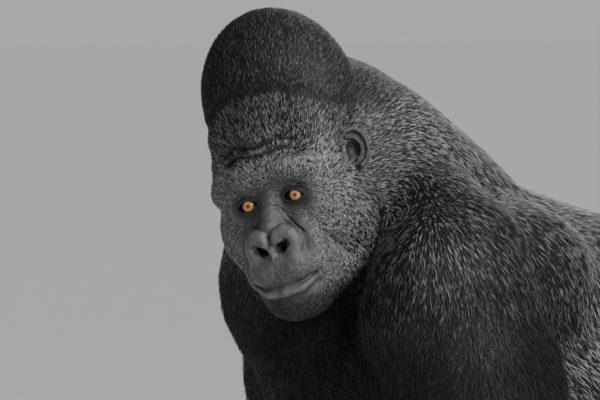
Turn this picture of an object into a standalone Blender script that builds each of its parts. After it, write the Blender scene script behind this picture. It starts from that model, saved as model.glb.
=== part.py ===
"""A life-size male western lowland gorilla, standing on its knuckles and soles.

It looks over its left shoulder with the head a little rolled. Metres, +Z up. It faces -Y, its left side
is +X, and the floor is z = 0. The whole body is modelled as overlapping masses, fused by a voxel remesh,
softened, and then parted with thin cuts into the pieces that a person would name.
"""

import math

import bmesh
import bpy
from mathutils import Euler, Matrix, Vector

# ---- driving dimensions ----------------------------------------------------------------------------------
GAP = 0.0008  # the thin cut between two neighbouring pieces
SIDES = {"left": 1, "right": -1}
FACE_TRIANGLES = 2400
EAR_TRIANGLES = 200
HANDS_AND_FEET_TRIANGLES = 1200
OTHER_TRIANGLES = 1600
BODY_TRIANGLES = 4350  # the whole skin, before it is parted

# The head's own frame has the midpoint between the eyes as origin, the face towards -Y, its left at +X.
EYE_MIDPOINT = Vector((0.100, -0.355, 1.050))
HEAD_YAW = 31.0  # turned to its left
HEAD_PITCH = 10.0  # face tipped down
HEAD_ROLL = -14.0  # left eye the higher one
EYE_HALF_GAP = 0.037
EYE_RADIUS = 0.0145
EYE_DEPTH = 0.0065  # the eyeball's centre, behind the origin of the head's frame
EYE_GAP = 0.0003
EYE_OPENING = (0.0280, 0.0155)  # between the lids, wide and high

HEAD_REGION = (  # corners, on the left, of what counts as the head
    (0.055, -0.120, -0.190),
    (0.064, 0.010, -0.190),
    (0.130, 0.092, -0.085),
    (0.137, -0.120, -0.060),
    (0.150, 0.235, 0.105),
    (0.150, 0.200, 0.290),
    (0.150, -0.120, 0.290),
)
EAR_CENTRE = (0.104, 0.068, 0.034)
EAR_FLARE = 40.0  # the ear's plate, turned out from the side of the head
EAR_GAP = 0.0005  # round the root

# The trunk, from chest to rump: (x, y, z of the middle, half width, half height).
TRUNK_STATIONS = (
    (0.010, -0.150, 0.855, 0.150, 0.165),
    (0.005, -0.060, 0.835, 0.195, 0.240),
    (0, 0.080, 0.790, 0.225, 0.272),
    (0, 0.240, 0.755, 0.255, 0.257),
    (0, 0.400, 0.740, 0.245, 0.205),
    (0, 0.540, 0.725, 0.205, 0.150),
    (0, 0.630, 0.695, 0.145, 0.105),
)
TRUNK_BALL_LENGTH = 0.13  # half length of each of the ellipsoids that are strung along the trunk
TRUNK_STEPS = 4  # ellipsoids from one station to the next

SHOULDER = {"left": Vector((0.235, -0.165, 0.915)), "right": Vector((-0.215, -0.045, 0.905))}
ELBOW = {"left": Vector((0.320, -0.110, 0.520)), "right": Vector((-0.310, 0.040, 0.525))}
WRIST = {"left": Vector((0.295, -0.265, 0.165)), "right": Vector((-0.285, -0.085, 0.165))}
HAND_TURN = 8.0  # knuckle row, turned in

HIP = {"left": Vector((0.135, 0.500, 0.640)), "right": Vector((-0.135, 0.510, 0.640))}
KNEE = {"left": Vector((0.225, 0.310, 0.400)), "right": Vector((-0.225, 0.370, 0.390))}
ANKLE = {"left": Vector((0.205, 0.475, 0.105)), "right": Vector((-0.205, 0.560, 0.105))}
FOOT_TURN = 14.0  # toes, turned out


# ---- shapes ----------------------------------------------------------------------------------------------
def gather(flesh, shape):
    """Adds one closed shape to the points and faces gathered so far."""
    points, faces = flesh
    first = len(points)
    points.extend(tuple(vert.co) for vert in shape.verts)
    faces.extend(tuple(first + vert.index for vert in face.verts) for face in shape.faces)
    shape.free()


def ball(flesh, centre, radii, turn=(0, 0, 0), frame=Matrix(), segments=28):
    """An ellipsoid with these half sizes, turned by these degrees."""
    turned = Euler([math.radians(angle) for angle in turn]).to_matrix().to_4x4()
    place = frame @ Matrix.Translation(centre) @ turned @ Matrix.Diagonal((*radii, 1))
    shape = bmesh.new()
    rings = segments * 5 // 8
    bmesh.ops.create_uvsphere(shape, u_segments=segments, v_segments=rings, radius=1, matrix=place)
    gather(flesh, shape)


def taper(flesh, stations, frame=Matrix()):
    """A rounded limb through stations of (point, radius)."""
    for point, radius in stations:
        ball(flesh, point, (radius,) * 3, frame=frame)
    for (start, radius_1), (end, radius_2) in zip(stations, stations[1:]):
        along = Vector(end) - Vector(start)
        upright = along.to_track_quat("Z", "Y").to_matrix().to_4x4()
        place = frame @ Matrix.Translation(Vector(start) + along / 2) @ upright
        shape = bmesh.new()
        sizes = {"radius1": radius_1, "radius2": radius_2, "depth": along.length}
        bmesh.ops.create_cone(shape, cap_ends=True, segments=28, matrix=place, **sizes)
        gather(flesh, shape)


def sided(point, sign):
    """The point, or its mirror image for the right side."""
    return Vector((point[0] * sign, point[1], point[2]))


def both_sides(flesh, stations, frame=Matrix()):
    """The same rounded limb on the left and on the right."""
    for sign in SIDES.values():
        taper(flesh, [(sided(point, sign), radius) for point, radius in stations], frame)


def paired(flesh, balls, frame=Matrix()):
    """Each ellipsoid of (middle, half sizes) on the left and on the right."""
    for centre, radii in balls:
        for sign in SIDES.values():
            ball(flesh, sided(centre, sign), radii, frame=frame)


def made(name, flesh, collection):
    """The gathered shapes as one object of the collection."""
    points, faces = flesh
    mesh = bpy.data.meshes.new(name)
    mesh.from_pydata(points, [], faces)
    piece = bpy.data.objects.new(name, mesh)
    collection.objects.link(piece)
    return piece


def whole(piece):
    """Keeps the piece's main body and drops slivers that a cut has left beside it."""
    shape = bmesh.new()
    shape.from_mesh(piece.data)
    waiting = set(shape.verts)
    clusters = []
    while waiting:
        cluster = [waiting.pop()]
        for vert in cluster:
            near = {edge.other_vert(vert) for edge in vert.link_edges} & waiting
            waiting -= near
            cluster.extend(near)
        clusters.append(cluster)
    main_body = max(clusters, key=len)
    loose = [vert for cluster in clusters if cluster is not main_body for vert in cluster]
    bmesh.ops.delete(shape, geom=loose, context="VERTS")
    shape.to_mesh(piece.data)
    shape.free()
    return piece


def settled(piece):
    """Applies the piece's modifiers."""
    graph = bpy.context.evaluated_depsgraph_get()
    mesh = bpy.data.meshes.new_from_object(piece.evaluated_get(graph))
    piece.modifiers.clear()
    piece.data = mesh
    return piece


def fused(piece, voxel, smoothing):
    """Fuses overlapping shapes into one skin and softens where they meet."""
    remesh = piece.modifiers.new("fuse", "REMESH")
    remesh.mode = "VOXEL"
    remesh.voxel_size = voxel
    soften = piece.modifiers.new("soften", "SMOOTH")
    soften.factor = 0.5
    soften.iterations = smoothing
    return settled(piece)


def thinned(piece, triangles, chosen):
    """Reduces the part of the piece where chosen(point) is true to about this many triangles."""
    group = piece.vertex_groups.new(name="chosen")
    inside = {vert.index for vert in piece.data.vertices if chosen(vert.co)}
    group.add(list(inside), 1.0, "REPLACE")
    piece.data.calc_loop_triangles()
    everything = len(piece.data.loop_triangles)
    found = sum(inside.issuperset(triangle.vertices) for triangle in piece.data.loop_triangles)
    decimate = piece.modifiers.new("thin", "DECIMATE")
    decimate.ratio = (everything - found + triangles) / everything
    decimate.vertex_group = group.name
    decimate.vertex_group_factor = 1.0
    decimate.use_collapse_triangulate = True
    settled(piece)
    piece.vertex_groups.clear()
    return piece


# ---- the great masses ------------------------------------------------------------------------------------
def add_trunk(flesh):
    """Barrel chest, pot belly and sloping back, as ellipsoids strung along the spine."""
    for before, after in zip(TRUNK_STATIONS, TRUNK_STATIONS[1:]):
        for step in range(TRUNK_STEPS + 1):
            share = step / TRUNK_STEPS
            x, y, z, width, height = (a + (b - a) * share for a, b in zip(before, after))
            ball(flesh, (x, y, z), (width, TRUNK_BALL_LENGTH, height))
    ball(flesh, (0.110, -0.190, 0.800), (0.110, 0.105, 0.140), (0, 0, 12))  # left pectoral
    ball(flesh, (-0.090, -0.158, 0.805), (0.115, 0.115, 0.150), (0, 0, -12))  # right pectoral
    ball(flesh, (0.135, 0.000, 0.930), (0.110, 0.140, 0.120), (-20, 14, 0))  # left shoulder blade
    ball(flesh, (-0.120, 0.045, 0.920), (0.110, 0.140, 0.120), (-20, -14, 0))  # right shoulder blade
    for sign in SIDES.values():
        ball(flesh, sided((0.090, 0.570, 0.655), sign), (0.114, 0.116, 0.118))  # rump


def add_neck(flesh):
    """The nape and hump, which rise in one slope from the back to the crown, and the throat."""
    nape = [
        ((0.035, -0.215, 1.143), 0.110),
        ((0.025, -0.175, 1.078), 0.146),
        ((0.000, -0.060, 0.998), 0.148),
        ((0.000, 0.030, 0.930), 0.140),
    ]
    taper(flesh, nape)
    taper(flesh, [((0.055, -0.215, 0.960), 0.095), ((0.020, -0.190, 0.820), 0.125)])  # throat
    ball(flesh, (-0.052, -0.210, 0.930), (0.126, 0.126, 0.150))  # right side of the neck
    taper(flesh, [((0.100, -0.150, 1.025), 0.105), ((0.210, -0.135, 0.965), 0.105)])
    taper(flesh, [((-0.060, -0.120, 1.030), 0.105), ((-0.185, -0.065, 0.955), 0.095)])


def add_arm(flesh, side):
    """Deltoid, upper arm and the thick forearm."""
    shoulder, elbow, wrist = SHOULDER[side], ELBOW[side], WRIST[side]
    ball(flesh, shoulder, (0.108, 0.135, 0.140), (12, 0, 0))
    stations = [
        (shoulder.lerp(elbow, 0.22), 0.116),
        (shoulder.lerp(elbow, 0.62), 0.100),
        (elbow, 0.074),
        (elbow.lerp(wrist, 0.28), 0.080),
        (elbow.lerp(wrist, 0.70), 0.060),
        (wrist, 0.044),
    ]
    taper(flesh, stations)
    triceps = shoulder.lerp(elbow, 0.40) + Vector((0, 0.045, 0))
    ball(flesh, triceps, (0.088, 0.095, 0.160), (-8, 0, 0))


def add_leg(flesh, side):
    """The short bent leg."""
    hip, knee, ankle = HIP[side], KNEE[side], ANKLE[side]
    stations = [
        (hip, 0.132),
        (hip.lerp(knee, 0.50), 0.116),
        (knee, 0.082),
        (knee.lerp(ankle, 0.35), 0.074),
        (knee.lerp(ankle, 0.80), 0.052),
        (ankle, 0.046),
    ]
    taper(flesh, stations)
    hamstring = hip.lerp(knee, 0.35) + Vector((0, 0.045, -0.010))
    ball(flesh, hamstring, (0.090, 0.105, 0.120), (-20, 0, 0))


# ---- the head, in its own frame --------------------------------------------------------------------------
def head_frame():
    """Places the head's own frame in the body's."""
    yaw, pitch, roll = (math.radians(angle) for angle in (HEAD_YAW, HEAD_PITCH, HEAD_ROLL))
    turned = Matrix.Rotation(yaw, 4, "Z") @ Matrix.Rotation(pitch, 4, "X") @ Matrix.Rotation(roll, 4, "Y")
    return Matrix.Translation(EYE_MIDPOINT) @ turned


def add_skull(flesh, frame):
    """Braincase, the tall crown with its fat pad, temples, bearded cheeks and jaw."""
    ball(flesh, (0, 0.101, 0.119), (0.117, 0.101, 0.134), frame=frame)  # crown
    ball(flesh, (0, 0.170, 0.085), (0.100, 0.086, 0.104), frame=frame)  # back of the crown
    ball(flesh, (0, 0.085, 0.050), (0.092, 0.105, 0.090), frame=frame)  # braincase
    ball(flesh, (0, 0.070, 0.082), (0.086, 0.068, 0.064), frame=frame)  # forehead
    ball(flesh, (0, 0.075, -0.110), (0.080, 0.080, 0.060), frame=frame)  # throat
    sides = [
        ((0.054, 0.064, 0.085), (0.052, 0.060, 0.064)),  # side of the forehead
        ((0.068, 0.046, 0.026), (0.040, 0.053, 0.062)),  # temple
        ((0.069, 0.056, -0.040), (0.055, 0.062, 0.070)),  # cheek
    ]
    paired(flesh, sides, frame)
    both_sides(flesh, [((0.022, 0.000, -0.132), 0.031), ((0.064, 0.072, -0.088), 0.050)], frame)  # jaw


def add_face(flesh, frame):
    """Brow bar, eye sockets, cheekbones, muzzle, lips and chin."""
    brow = [
        ((0, -0.002, 0.037), 0.0185),
        ((0.030, -0.003, 0.038), 0.0205),
        ((0.058, 0.006, 0.035), 0.0215),
        ((0.084, 0.027, 0.020), 0.0210),
    ]
    both_sides(flesh, brow, frame)
    sides = [
        ((0.042, 0.026, -0.002), (0.042, 0.029, 0.034)),  # socket
        ((EYE_HALF_GAP, EYE_DEPTH, 0), (0.0190, 0.0165, 0.0150)),  # lids
        ((0.052, 0.030, -0.034), (0.046, 0.038, 0.036)),  # cheekbone
        ((0.036, 0.008, -0.090), (0.034, 0.038, 0.036)),  # side of the muzzle
    ]
    paired(flesh, sides, frame)
    ball(flesh, (0, 0.016, -0.045), (0.060, 0.037, 0.056), frame=frame)  # mid face
    ball(flesh, (0, -0.006, -0.087), (0.056, 0.045, 0.027), frame=frame)  # upper lip
    ball(flesh, (0, 0.000, -0.138), (0.047, 0.040, 0.031), frame=frame)  # chin
    lip = [((0, -0.040, -0.121), 0.0105), ((0.026, -0.034, -0.118), 0.0095), ((0.048, -0.012, -0.107), 0.0070)]
    both_sides(flesh, lip, frame)


def add_nose(flesh, frame):
    """Bridge, septum, and the two broad wings that curl round the nostrils."""
    bridge = [((0, -0.001, 0.012), 0.0130), ((0, -0.010, -0.010), 0.0145), ((0, -0.024, -0.034), 0.0165)]
    taper(flesh, bridge, frame)
    ball(flesh, (0, -0.038, -0.056), (0.0065, 0.0100, 0.0160), frame=frame)  # septum
    paired(flesh, [((0.0205, -0.032, -0.043), (0.0195, 0.0165, 0.0185))], frame)  # lobe
    wing = [
        ((0.034, -0.026, -0.046), 0.0115),
        ((0.037, -0.026, -0.062), 0.0110),
        ((0.031, -0.032, -0.080), 0.0100),
    ]
    both_sides(flesh, wing, frame)
    sill = [((0.034, -0.028, -0.068), 0.0085), ((0.016, -0.038, -0.071), 0.008), ((0, -0.040, -0.066), 0.0075)]
    both_sides(flesh, sill, frame)


def ear_frame(sign):
    """Places an ear's own frame in the body's. Its plate spans X and Z, and its hollow faces -Y."""
    flare = Matrix.Rotation(math.radians(EAR_FLARE * sign), 4, "Z")
    return head_frame() @ Matrix.Translation(sided(EAR_CENTRE, sign)) @ flare


def modelled_ear(side, collection):
    """A small ear: dished plate, rolled rim, inner ridge, lobe, and a root that sinks into the hair."""
    sign = SIDES[side]
    frame = ear_frame(sign)
    flesh = ([], [])
    ball(flesh, (0, 0.0015, 0), (0.0185, 0.0035, 0.0260), frame=frame)
    ball(flesh, sided((-0.016, 0.002, -0.002), sign), (0.0150, 0.0060, 0.0210), frame=frame)  # root
    rim = [
        ((-0.014, -0.002, 0.018), 0.0040),
        ((-0.004, -0.003, 0.0260), 0.0042),
        ((0.010, -0.002, 0.0230), 0.0042),
        ((0.0185, -0.001, 0.0100), 0.0040),
        ((0.0185, -0.001, -0.0050), 0.0038),
        ((0.0110, -0.001, -0.0190), 0.0040),
        ((0.0010, -0.001, -0.0265), 0.0048),
    ]
    taper(flesh, [(sided(point, sign), radius) for point, radius in rim], frame)
    ridge = [
        ((-0.002, -0.003, 0.0140), 0.0028),
        ((0.009, -0.003, 0.0060), 0.0028),
        ((0.008, -0.003, -0.0100), 0.0028),
    ]
    taper(flesh, [(sided(point, sign), radius) for point, radius in ridge], frame)
    ear = fused(made(f"{side}_ear", flesh, collection), voxel=0.0016, smoothing=3)
    return thinned(ear, EAR_TRIANGLES, lambda point: True)


# ---- hands and feet --------------------------------------------------------------------------------------
def add_hand(flesh, side):
    """A fist on its knuckles: back of the hand upright, finger ends folded under."""
    sign = SIDES[side]
    wrist = WRIST[side]
    turned = Matrix.Rotation(math.radians(-HAND_TURN * sign), 4, "Z")
    frame = Matrix.Translation((wrist.x, wrist.y, 0)) @ turned
    ball(flesh, (0, -0.004, 0.118), (0.055, 0.033, 0.056), (10, 0, 0), frame)  # back of the hand
    for finger in range(4):
        x = (finger - 1.5) * 0.0310
        reach = 0.004 if finger in (1, 2) else 0.0
        joints = [
            ((x, -0.014, 0.084), 0.0200),
            ((x, -0.044 - reach, 0.0170), 0.0195),
            ((x, -0.004, 0.0145), 0.0170),
            ((x, 0.012, 0.0340), 0.0145),
        ]
        taper(flesh, joints, frame)
    thumb = [
        ((-0.048, 0.010, 0.120), 0.0190),
        ((-0.066, -0.012, 0.088), 0.0165),
        ((-0.064, -0.026, 0.060), 0.0140),
    ]
    taper(flesh, [(sided(point, sign), radius) for point, radius in thumb], frame)


def add_foot(flesh, side):
    """A flat sole with four toes, and the great toe apart like a thumb."""
    sign = SIDES[side]
    ankle = ANKLE[side]
    turned = Matrix.Rotation(math.radians(FOOT_TURN * sign), 4, "Z")
    frame = Matrix.Translation((ankle.x, ankle.y - 0.060, 0)) @ turned
    ball(flesh, (0, 0.095, 0.034), (0.035, 0.044, 0.038), frame=frame)  # heel
    ball(flesh, (0, 0.015, 0.038), (0.045, 0.095, 0.042), (6, 0, 0), frame)  # instep
    ball(flesh, (0, -0.070, 0.022), (0.050, 0.048, 0.026), frame=frame)  # ball of the foot
    for toe in range(4):
        x = (toe - 1.5) * 0.0260 * sign
        length = 0.052 - 0.006 * abs(toe - 1)
        root, tip = (x, -0.098, 0.017), (x * 1.08, -0.098 - length, 0.0115)
        taper(flesh, [(root, 0.0160), (tip, 0.0135)], frame)
    great_toe = [
        ((-0.030, 0.010, 0.028), 0.0240),
        ((-0.064, -0.045, 0.018), 0.0200),
        ((-0.078, -0.082, 0.014), 0.0165),
    ]
    taper(flesh, [(sided(point, sign), radius) for point, radius in great_toe], frame)


def on_hand_or_foot(point):
    """True near the floor."""
    return point.z < 0.17


def on_face(point):
    """True on the face."""
    near = (head_frame().inverted() @ point) - Vector((0, 0.020, -0.040))
    return near.x**2 / 0.135**2 + near.y**2 / 0.100**2 + near.z**2 / 0.135**2 < 1


def on_great_masses(point):
    """True everywhere else."""
    return not on_hand_or_foot(point) and not on_face(point)


def modelled_body(collection):
    """The whole animal in one skin: first the great masses, well softened, then the fine shapes on them."""
    masses = ([], [])
    add_trunk(masses)
    add_neck(masses)
    for side in SIDES:
        add_arm(masses, side)
        add_leg(masses, side)
    body = fused(made("body", masses, collection), voxel=0.010, smoothing=12)

    points = [tuple(vert.co) for vert in body.data.vertices]
    faces = [tuple(face.vertices) for face in body.data.polygons]
    bpy.data.objects.remove(body)
    details = (points, faces)
    frame = head_frame()
    add_skull(details, frame)
    add_face(details, frame)
    add_nose(details, frame)
    for side in SIDES:
        add_hand(details, side)
        add_foot(details, side)
    body = fused(made("body", details, collection), voxel=0.0030, smoothing=8)
    thinned(body, OTHER_TRIANGLES, on_great_masses)
    thinned(body, HANDS_AND_FEET_TRIANGLES, on_hand_or_foot)
    thinned(body, FACE_TRIANGLES, on_face)
    return thinned(body, BODY_TRIANGLES, lambda point: True)


# ---- parting ---------------------------------------------------------------------------------------------
def cut(piece, cutter, operation):
    """One exact Boolean with the cutter."""
    boolean = piece.modifiers.new(operation.lower(), "BOOLEAN")
    boolean.operation = operation
    boolean.solver = "EXACT"
    boolean.object = cutter
    return settled(piece)


def as_cutter(piece):
    """Marks the piece as a tool that is not part of the animal."""
    piece.hide_render = True
    piece.display_type = "WIRE"
    return piece


def box_cutter(place, half_sizes, cutters):
    """A box with these half sizes."""
    shape = bmesh.new()
    bmesh.ops.create_cube(shape, size=2, matrix=place @ Matrix.Diagonal((*half_sizes, 1)))
    flesh = ([], [])
    gather(flesh, shape)
    return as_cutter(made("box", flesh, cutters))


def ball_cutter(centre, radii, turn, frame, cutters):
    """An ellipsoid to hollow with."""
    flesh = ([], [])
    ball(flesh, centre, radii, turn, frame, segments=14)
    return as_cutter(made("hollow", flesh, cutters))


def hull_cutter(corners, grown, cutters):
    """The convex shape round the corners, grown about its middle by this share."""
    middle = sum(corners, Vector()) / len(corners)
    shape = bmesh.new()
    for corner in corners:
        shape.verts.new(middle + (corner - middle) * (1 + grown))
    bmesh.ops.convex_hull(shape, input=shape.verts)
    bmesh.ops.recalc_face_normals(shape, faces=shape.faces)
    shape.verts.index_update()
    flesh = ([], [])
    gather(flesh, shape)
    return as_cutter(made("hull", flesh, cutters))


def split(body, name, inner, outer):
    """Takes what lies in the inner cutter as a new piece and leaves the body what lies beyond the outer."""
    piece = bpy.data.objects.new(name, body.data.copy())
    for collection in body.users_collection:
        collection.objects.link(piece)
    whole(cut(piece, inner, "INTERSECT"))
    whole(cut(body, outer, "DIFFERENCE"))
    return piece


def parted(body, name, place, half_sizes, cutters):
    """Takes what lies in the box off the body as a piece of its own, with the thin cut between them."""
    inner = box_cutter(place, [half - GAP / 2 for half in half_sizes], cutters)
    outer = box_cutter(place, [half + GAP / 2 for half in half_sizes], cutters)
    return split(body, name, inner, outer)


def facing(point, direction):
    """A frame at the point whose Z runs along the direction and whose X stays level."""
    along = Vector(direction).normalized()
    across = Vector((along.z, 0, -along.x)).normalized()
    turned = Matrix((across, along.cross(across), along)).transposed()
    return Matrix.Translation(point) @ turned.to_4x4()


def beyond(point, direction, reach):
    """The frame of a box that starts at the point and reaches this far along the direction."""
    along = Vector(direction).normalized()
    return facing(Vector(point) + along * reach / 2, along)


def limb_parted(body, name, start, end, half_width, cutters):
    """The part of a limb from the plane across its start to well past its end."""
    reach = (end - start).length + 0.12
    return parted(body, name, beyond(start, end - start, reach), (half_width, half_width, reach / 2), cutters)


def arm_parts(body, side, cutters):
    """Hand, forearm and upper arm."""
    sign = SIDES[side]
    shoulder, elbow, wrist = SHOULDER[side], ELBOW[side], WRIST[side]
    hand_place = Matrix.Translation((wrist.x, wrist.y - 0.010, 0.065))
    hand = parted(body, f"{side}_hand", hand_place, (0.125, 0.125, 0.100), cutters)
    forearm = limb_parted(body, f"{side}_forearm", elbow, wrist, 0.125, cutters)
    turned = Euler((0, math.radians(-6 * sign), math.radians(-10 * sign))).to_matrix().to_4x4()
    place = Matrix.Translation((shoulder.x + 0.110 * sign, shoulder.y + 0.020, 0.830)) @ turned
    upper_arm = parted(body, f"{side}_upper_arm", place, (0.165, 0.170, 0.400), cutters)
    return [hand, forearm, upper_arm]


def leg_parts(body, side, cutters):
    """Foot, shank and thigh."""
    hip, knee, ankle = HIP[side], KNEE[side], ANKLE[side]
    foot_place = Matrix.Translation((ankle.x, ankle.y - 0.060, 0))
    foot = parted(body, f"{side}_foot", foot_place, (0.150, 0.210, 0.092), cutters)
    shank = limb_parted(body, f"{side}_shank", knee, ankle, 0.130, cutters)
    thigh = limb_parted(body, f"{side}_thigh", hip.lerp(knee, 0.30), knee, 0.150, cutters)
    return [foot, shank, thigh]


def eye_parts(head, side, frame, cutters):
    """Opens the lids over a round socket and sets the eyeball in it."""
    centre = sided((EYE_HALF_GAP, EYE_DEPTH, 0), SIDES[side])
    socket = ball_cutter(centre, (EYE_RADIUS + EYE_GAP,) * 3, (0, 0, 0), frame, cutters)
    slit = (EYE_OPENING[0] / 2, 0.020, EYE_OPENING[1] / 2)
    opening = ball_cutter(centre - Vector((0, 0.011, 0)), slit, (0, 0, 13), frame, cutters)
    cut(socket, opening, "UNION")
    cut(head, socket, "DIFFERENCE")
    flesh = ([], [])
    ball(flesh, centre, (EYE_RADIUS,) * 3, frame=frame, segments=14)
    return made(f"{side}_eye", flesh, head.users_collection[0])


def nostril_cut(head, side, frame, cutters):
    """A slanting comma of a nostril."""
    sign = SIDES[side]
    centre = sided((0.0165, -0.047, -0.057), sign)
    cut(head, ball_cutter(centre, (0.0115, 0.0130, 0.0058), (0, -38 * sign, 0), frame, cutters), "DIFFERENCE")


def ear_socketed(head, side, cutters):
    """Models the ear and lets its root into the head with a thin gap all round."""
    ear = modelled_ear(side, head.users_collection[0])
    socket = as_cutter(bpy.data.objects.new("ear_socket", ear.data.copy()))
    cutters.objects.link(socket)
    swell = socket.modifiers.new("swell", "DISPLACE")
    swell.mid_level = 0
    swell.strength = EAR_GAP
    cut(head, settled(socket), "DIFFERENCE")
    return ear


def parts_of(body, cutters):
    """The body parted into the pieces that a person would name."""
    floor = box_cutter(Matrix.Translation((0, 0, -0.5)), (1.5, 1.5, 0.5), cutters)
    cut(body, floor, "DIFFERENCE")
    frame = head_frame()
    corners = [frame @ sided(corner, sign) for corner in HEAD_REGION for sign in SIDES.values()]
    inner, outer = (hull_cutter(corners, grown, cutters) for grown in (-0.0015, 0.0015))
    head = split(body, "head", inner, outer)
    pieces = [head]
    for side in SIDES:
        pieces.append(ear_socketed(head, side, cutters))
        pieces.append(eye_parts(head, side, frame, cutters))
        nostril_cut(head, side, frame, cutters)
        pieces += arm_parts(body, side, cutters)
        pieces += leg_parts(body, side, cutters)
    neck_place = beyond((0, -0.155, 1.000), (0, -0.76, 0.65), 0.40)
    pieces.append(parted(body, "neck", neck_place, (0.260, 0.300, 0.200), cutters))
    belly_place = Matrix.Translation((0, 0.620, 0.700))
    pieces.append(parted(body, "belly", belly_place, (0.400, 0.420, 0.500), cutters))
    body.name = "chest"
    return [*pieces, body]


# ---- materials -------------------------------------------------------------------------------------------
def coloured(piece, name, colour, roughness):
    """Gives the piece a plain material."""
    material = bpy.data.materials.get(name) or bpy.data.materials.new(name)
    material.use_nodes = True
    material.diffuse_color = (*colour, 1)
    surface = material.node_tree.nodes["Principled BSDF"]
    surface.inputs["Base Color"].default_value = (*colour, 1)
    surface.inputs["Roughness"].default_value = roughness
    surface.inputs["Metallic"].default_value = 0
    piece.data.materials.clear()
    piece.data.materials.append(material)


def coat_and_skin(piece):
    """Black coat, the silver saddle, bare skin on hands and feet, and amber eyes."""
    part = piece.name.split("_", 1)[-1]
    if part == "eye":
        coloured(piece, "eye_amber", (0.230, 0.095, 0.030), 0.12)
    elif part in ("hand", "foot", "ear"):
        coloured(piece, "bare_skin", (0.040, 0.040, 0.042), 0.55)
    elif part in ("belly", "thigh"):
        coloured(piece, "silver_coat", (0.200, 0.200, 0.205), 0.90)
    elif part == "head":
        coloured(piece, "grizzled_coat", (0.085, 0.085, 0.087), 0.90)
    else:
        coloured(piece, "black_coat", (0.050, 0.050, 0.052), 0.90)


def shaded(piece):
    """Rounded shading, with the cut faces kept crisp."""
    piece.data.polygons.foreach_set("use_smooth", [True] * len(piece.data.polygons))
    piece.data.set_sharp_from_angle(angle=math.radians(50))


def set_on_origin(pieces):
    """Moves the animal so that the middle of its footprint is the origin and the floor is z = 0."""
    points = [vert.co for piece in pieces for vert in piece.data.vertices]
    x_middle = (min(p.x for p in points) + max(p.x for p in points)) / 2
    y_middle = (min(p.y for p in points) + max(p.y for p in points)) / 2
    moved = Matrix.Translation((-x_middle, -y_middle, 0))
    for piece in pieces:
        piece.data.transform(moved)


def main():
    for old in list(bpy.data.objects):
        bpy.data.objects.remove(old)
    gorilla = bpy.data.collections.new("gorilla")
    cutters = bpy.data.collections.new("cutters")
    for collection in (gorilla, cutters):
        bpy.context.scene.collection.children.link(collection)
    pieces = parts_of(modelled_body(gorilla), cutters)
    set_on_origin(pieces)
    for piece in pieces:
        coat_and_skin(piece)
        shaded(piece)


main()
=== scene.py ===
"""Skin, coat, eyes and nails of the gorilla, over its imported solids."""

import math

import bmesh
import bpy
import numpy as np
from mathutils import Matrix, Vector
from mathutils.bvhtree import BVHTree


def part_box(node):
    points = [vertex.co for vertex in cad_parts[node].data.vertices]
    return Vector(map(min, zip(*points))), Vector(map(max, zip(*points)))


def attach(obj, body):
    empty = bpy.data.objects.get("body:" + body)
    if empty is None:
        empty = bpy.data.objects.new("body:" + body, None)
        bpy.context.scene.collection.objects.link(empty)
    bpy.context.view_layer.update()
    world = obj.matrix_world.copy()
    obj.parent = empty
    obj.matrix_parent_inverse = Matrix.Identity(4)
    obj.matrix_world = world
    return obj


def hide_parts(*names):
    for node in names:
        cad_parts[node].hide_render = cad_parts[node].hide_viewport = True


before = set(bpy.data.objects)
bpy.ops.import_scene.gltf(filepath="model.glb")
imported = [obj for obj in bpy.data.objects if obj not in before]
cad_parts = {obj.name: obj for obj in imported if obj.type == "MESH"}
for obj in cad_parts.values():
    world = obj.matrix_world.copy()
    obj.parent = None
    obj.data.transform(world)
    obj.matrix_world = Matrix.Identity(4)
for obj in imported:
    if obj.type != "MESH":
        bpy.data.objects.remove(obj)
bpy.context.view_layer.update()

# ---- sizes, in metres and degrees ----
EYE_HALF_GAP = 0.037
EYE_DEPTH = 0.0065
EYE_RADIUS = 0.0145
CAP_X = (0, 0.04, 0.075, 0.095, 0.112)  # the line of the cap of hair, from the middle to the temple
CAP_Z = (0.142, 0.138, 0.12, 0.1, 0.07)
OPENING = (0.0158, 0.0076, 0.0066)  # half width, height above and below the line of the lids
HEAD_TURN = (31.0, 10.0, -14.0)  # yaw, pitch and roll
HAND_TURN = 8.0
FOOT_TURN = 14.0
FINGER_GAP = 0.031
TOE_GAP = 0.026
TOE_ROOT = -0.098
TOE_SPREAD = 1.08
EAR_CENTRE = (0.104, 0.068, 0.034)
EAR_FLARE = 40.0
EAR_HOLLOW = ((-0.002, -0.004, -0.001), (0.0085, 0.0085, 0.0115))
FLOOR_GAP = 0.0006  # below the knuckles, toes and soles
HEAD_STEP = 0.0022
EAR_STEP = 0.0011
LIMB_STEP = 0.002
BODY_STEP = 0.005
NOT_BODY = ("eye", "ear", "hand", "foot")  # nodes with a shell of their own
CUT_FILL = 0.0009  # added to each solid, so that the cuts between them close
COVERED_SHARE = 0.13  # of the faces that stay where the coat covers them
FLOOR_REACH = 60
CAMERA_AZIMUTH = 58.0
CAMERA_ELEVATION = 3.0
CAMERA_DISTANCE = 6.0
SENSOR = 36  # of the camera, in millimetres
FRAME_WIDTH = 600
METRES_PER_PIXEL = 0.00133  # at the eyes, in a frame of that width
TUFTS_PER_PIECE = 48000
SIDES = {"left": 1, "right": -1}


def ease(low, high, value):
    """A smooth step, from 0 at low to 1 at high."""
    t = np.clip((value - low) / (high - low), 0, 1)
    return t * t * (3 - 2 * t)


def bell(value, width):
    return np.exp(-((value / width) ** 2))


def norm(vectors):
    return np.linalg.norm(vectors, axis=1)


def unit(vectors):
    return vectors / np.maximum(norm(vectors), 1e-9)[:, None]


# ---- places ----
def turn_of(yaw, pitch, roll):
    turned = Matrix.Rotation(math.radians(yaw), 3, "Z")
    turned = turned @ Matrix.Rotation(math.radians(pitch), 3, "X")
    return np.array(turned @ Matrix.Rotation(math.radians(roll), 3, "Y"))


def about(axis, angle):
    return np.array(Matrix.Rotation(math.radians(angle), 3, axis))


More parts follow.
